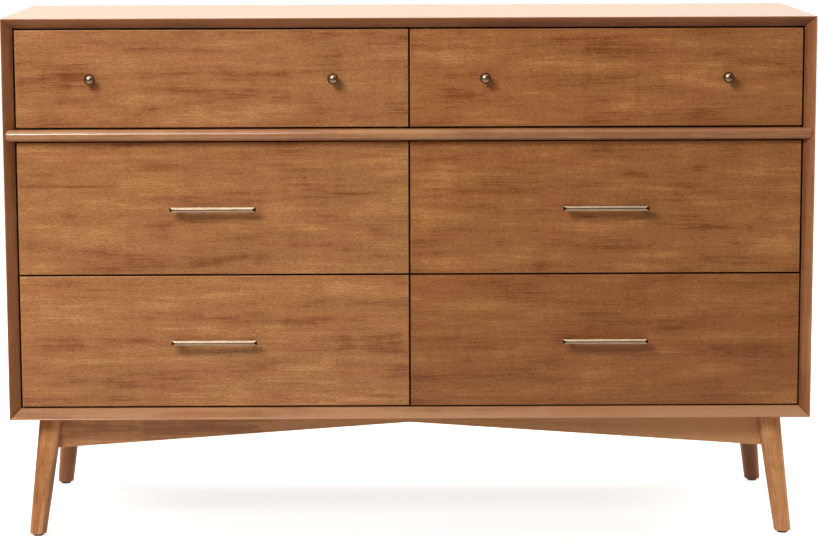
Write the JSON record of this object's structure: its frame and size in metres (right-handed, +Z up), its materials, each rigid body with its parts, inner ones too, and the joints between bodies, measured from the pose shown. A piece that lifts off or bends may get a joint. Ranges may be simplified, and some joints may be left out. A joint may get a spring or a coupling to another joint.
{
  "type": "dresser",
  "caption": "Low wide wooden dresser: shallow drawers with ball knobs over deeper drawers with bar pulls, in a mitred case on splayed round legs.",
  "frame": {"origin": "on the floor, under the middle of the overall box", "axes": "+X to the right as seen from the front, +Y from the front to the back, +Z up"},
  "size_m": [1.42, 0.4626, 0.922],
  "materials": {
    "case_wood": "satin-lacquered reddish brown veneer and solid wood",
    "front_wood": "satin-lacquered reddish brown veneer with level grain",
    "leg_wood": "satin-lacquered solid wood, grain along the leg",
    "box_wood": "plain sanded pale wood",
    "panel_wood": "plain thin board",
    "bronze": "darkened bronze, softly polished",
    "glide_nylon": "matte dark brown"
  },
  "bodies": {
    "carcass": {"top_panel": "case_wood", "bottom_panel": "case_wood", "side_panel_left": "case_wood", "side_panel_right": "case_wood", "middle_rail": "case_wood", "back_panel": "panel_wood", "middle_shelf": "panel_wood", "divider_upper": "panel_wood", "divider_lower": "panel_wood", "dust_panel_left": "panel_wood", "dust_panel_right": "panel_wood", "leg_front_left": "leg_wood", "leg_front_right": "leg_wood", "leg_rear_left": "leg_wood", "leg_rear_right": "leg_wood", "glide_front_left": "glide_nylon", "glide_front_right": "glide_nylon", "glide_rear_left": "glide_nylon", "glide_rear_right": "glide_nylon", "apron_front": "case_wood", "apron_rear": "case_wood"},
    "top_left_drawer": {"top_left_drawer_front": "front_wood", "top_left_drawer_side_left": "box_wood", "top_left_drawer_side_right": "box_wood", "top_left_drawer_back": "box_wood", "top_left_drawer_bottom": "panel_wood", "top_left_knob_left": "bronze", "top_left_knob_right": "bronze"},
    "top_right_drawer": {"top_right_drawer_front": "front_wood", "top_right_drawer_side_left": "box_wood", "top_right_drawer_side_right": "box_wood", "top_right_drawer_back": "box_wood", "top_right_drawer_bottom": "panel_wood", "top_right_knob_left": "bronze", "top_right_knob_right": "bronze"},
    "middle_left_drawer": {"middle_left_drawer_front": "front_wood", "middle_left_drawer_side_left": "box_wood", "middle_left_drawer_side_right": "box_wood", "middle_left_drawer_back": "box_wood", "middle_left_drawer_bottom": "panel_wood", "middle_left_pull": "bronze"},
    "middle_right_drawer": {"middle_right_drawer_front": "front_wood", "middle_right_drawer_side_left": "box_wood", "middle_right_drawer_side_right": "box_wood", "middle_right_drawer_back": "box_wood", "middle_right_drawer_bottom": "panel_wood", "middle_right_pull": "bronze"},
    "bottom_left_drawer": {"bottom_left_drawer_front": "front_wood", "bottom_left_drawer_side_left": "box_wood", "bottom_left_drawer_side_right": "box_wood", "bottom_left_drawer_back": "box_wood", "bottom_left_drawer_bottom": "panel_wood", "bottom_left_pull": "bronze"},
    "bottom_right_drawer": {"bottom_right_drawer_front": "front_wood", "bottom_right_drawer_side_left": "box_wood", "bottom_right_drawer_side_right": "box_wood", "bottom_right_drawer_back": "box_wood", "bottom_right_drawer_bottom": "panel_wood", "bottom_right_pull": "bronze"}
  },
  "joints": [
    {"name": "top_left_drawer_slide", "type": "slide", "parent": "carcass", "child": "top_left_drawer", "axis": [0, -1, 0], "range_m": [0, 0.3]},
    {"name": "top_right_drawer_slide", "type": "slide", "parent": "carcass", "child": "top_right_drawer", "axis": [0, -1, 0], "range_m": [0, 0.3]},
    {"name": "middle_left_drawer_slide", "type": "slide", "parent": "carcass", "child": "middle_left_drawer", "axis": [0, -1, 0], "range_m": [0, 0.3]},
    {"name": "middle_right_drawer_slide", "type": "slide", "parent": "carcass", "child": "middle_right_drawer", "axis": [0, -1, 0], "range_m": [0, 0.3]},
    {"name": "bottom_left_drawer_slide", "type": "slide", "parent": "carcass", "child": "bottom_left_drawer", "axis": [0, -1, 0], "range_m": [0, 0.3]},
    {"name": "bottom_right_drawer_slide", "type": "slide", "parent": "carcass", "child": "bottom_right_drawer", "axis": [0, -1, 0], "range_m": [0, 0.3]}
  ]
}
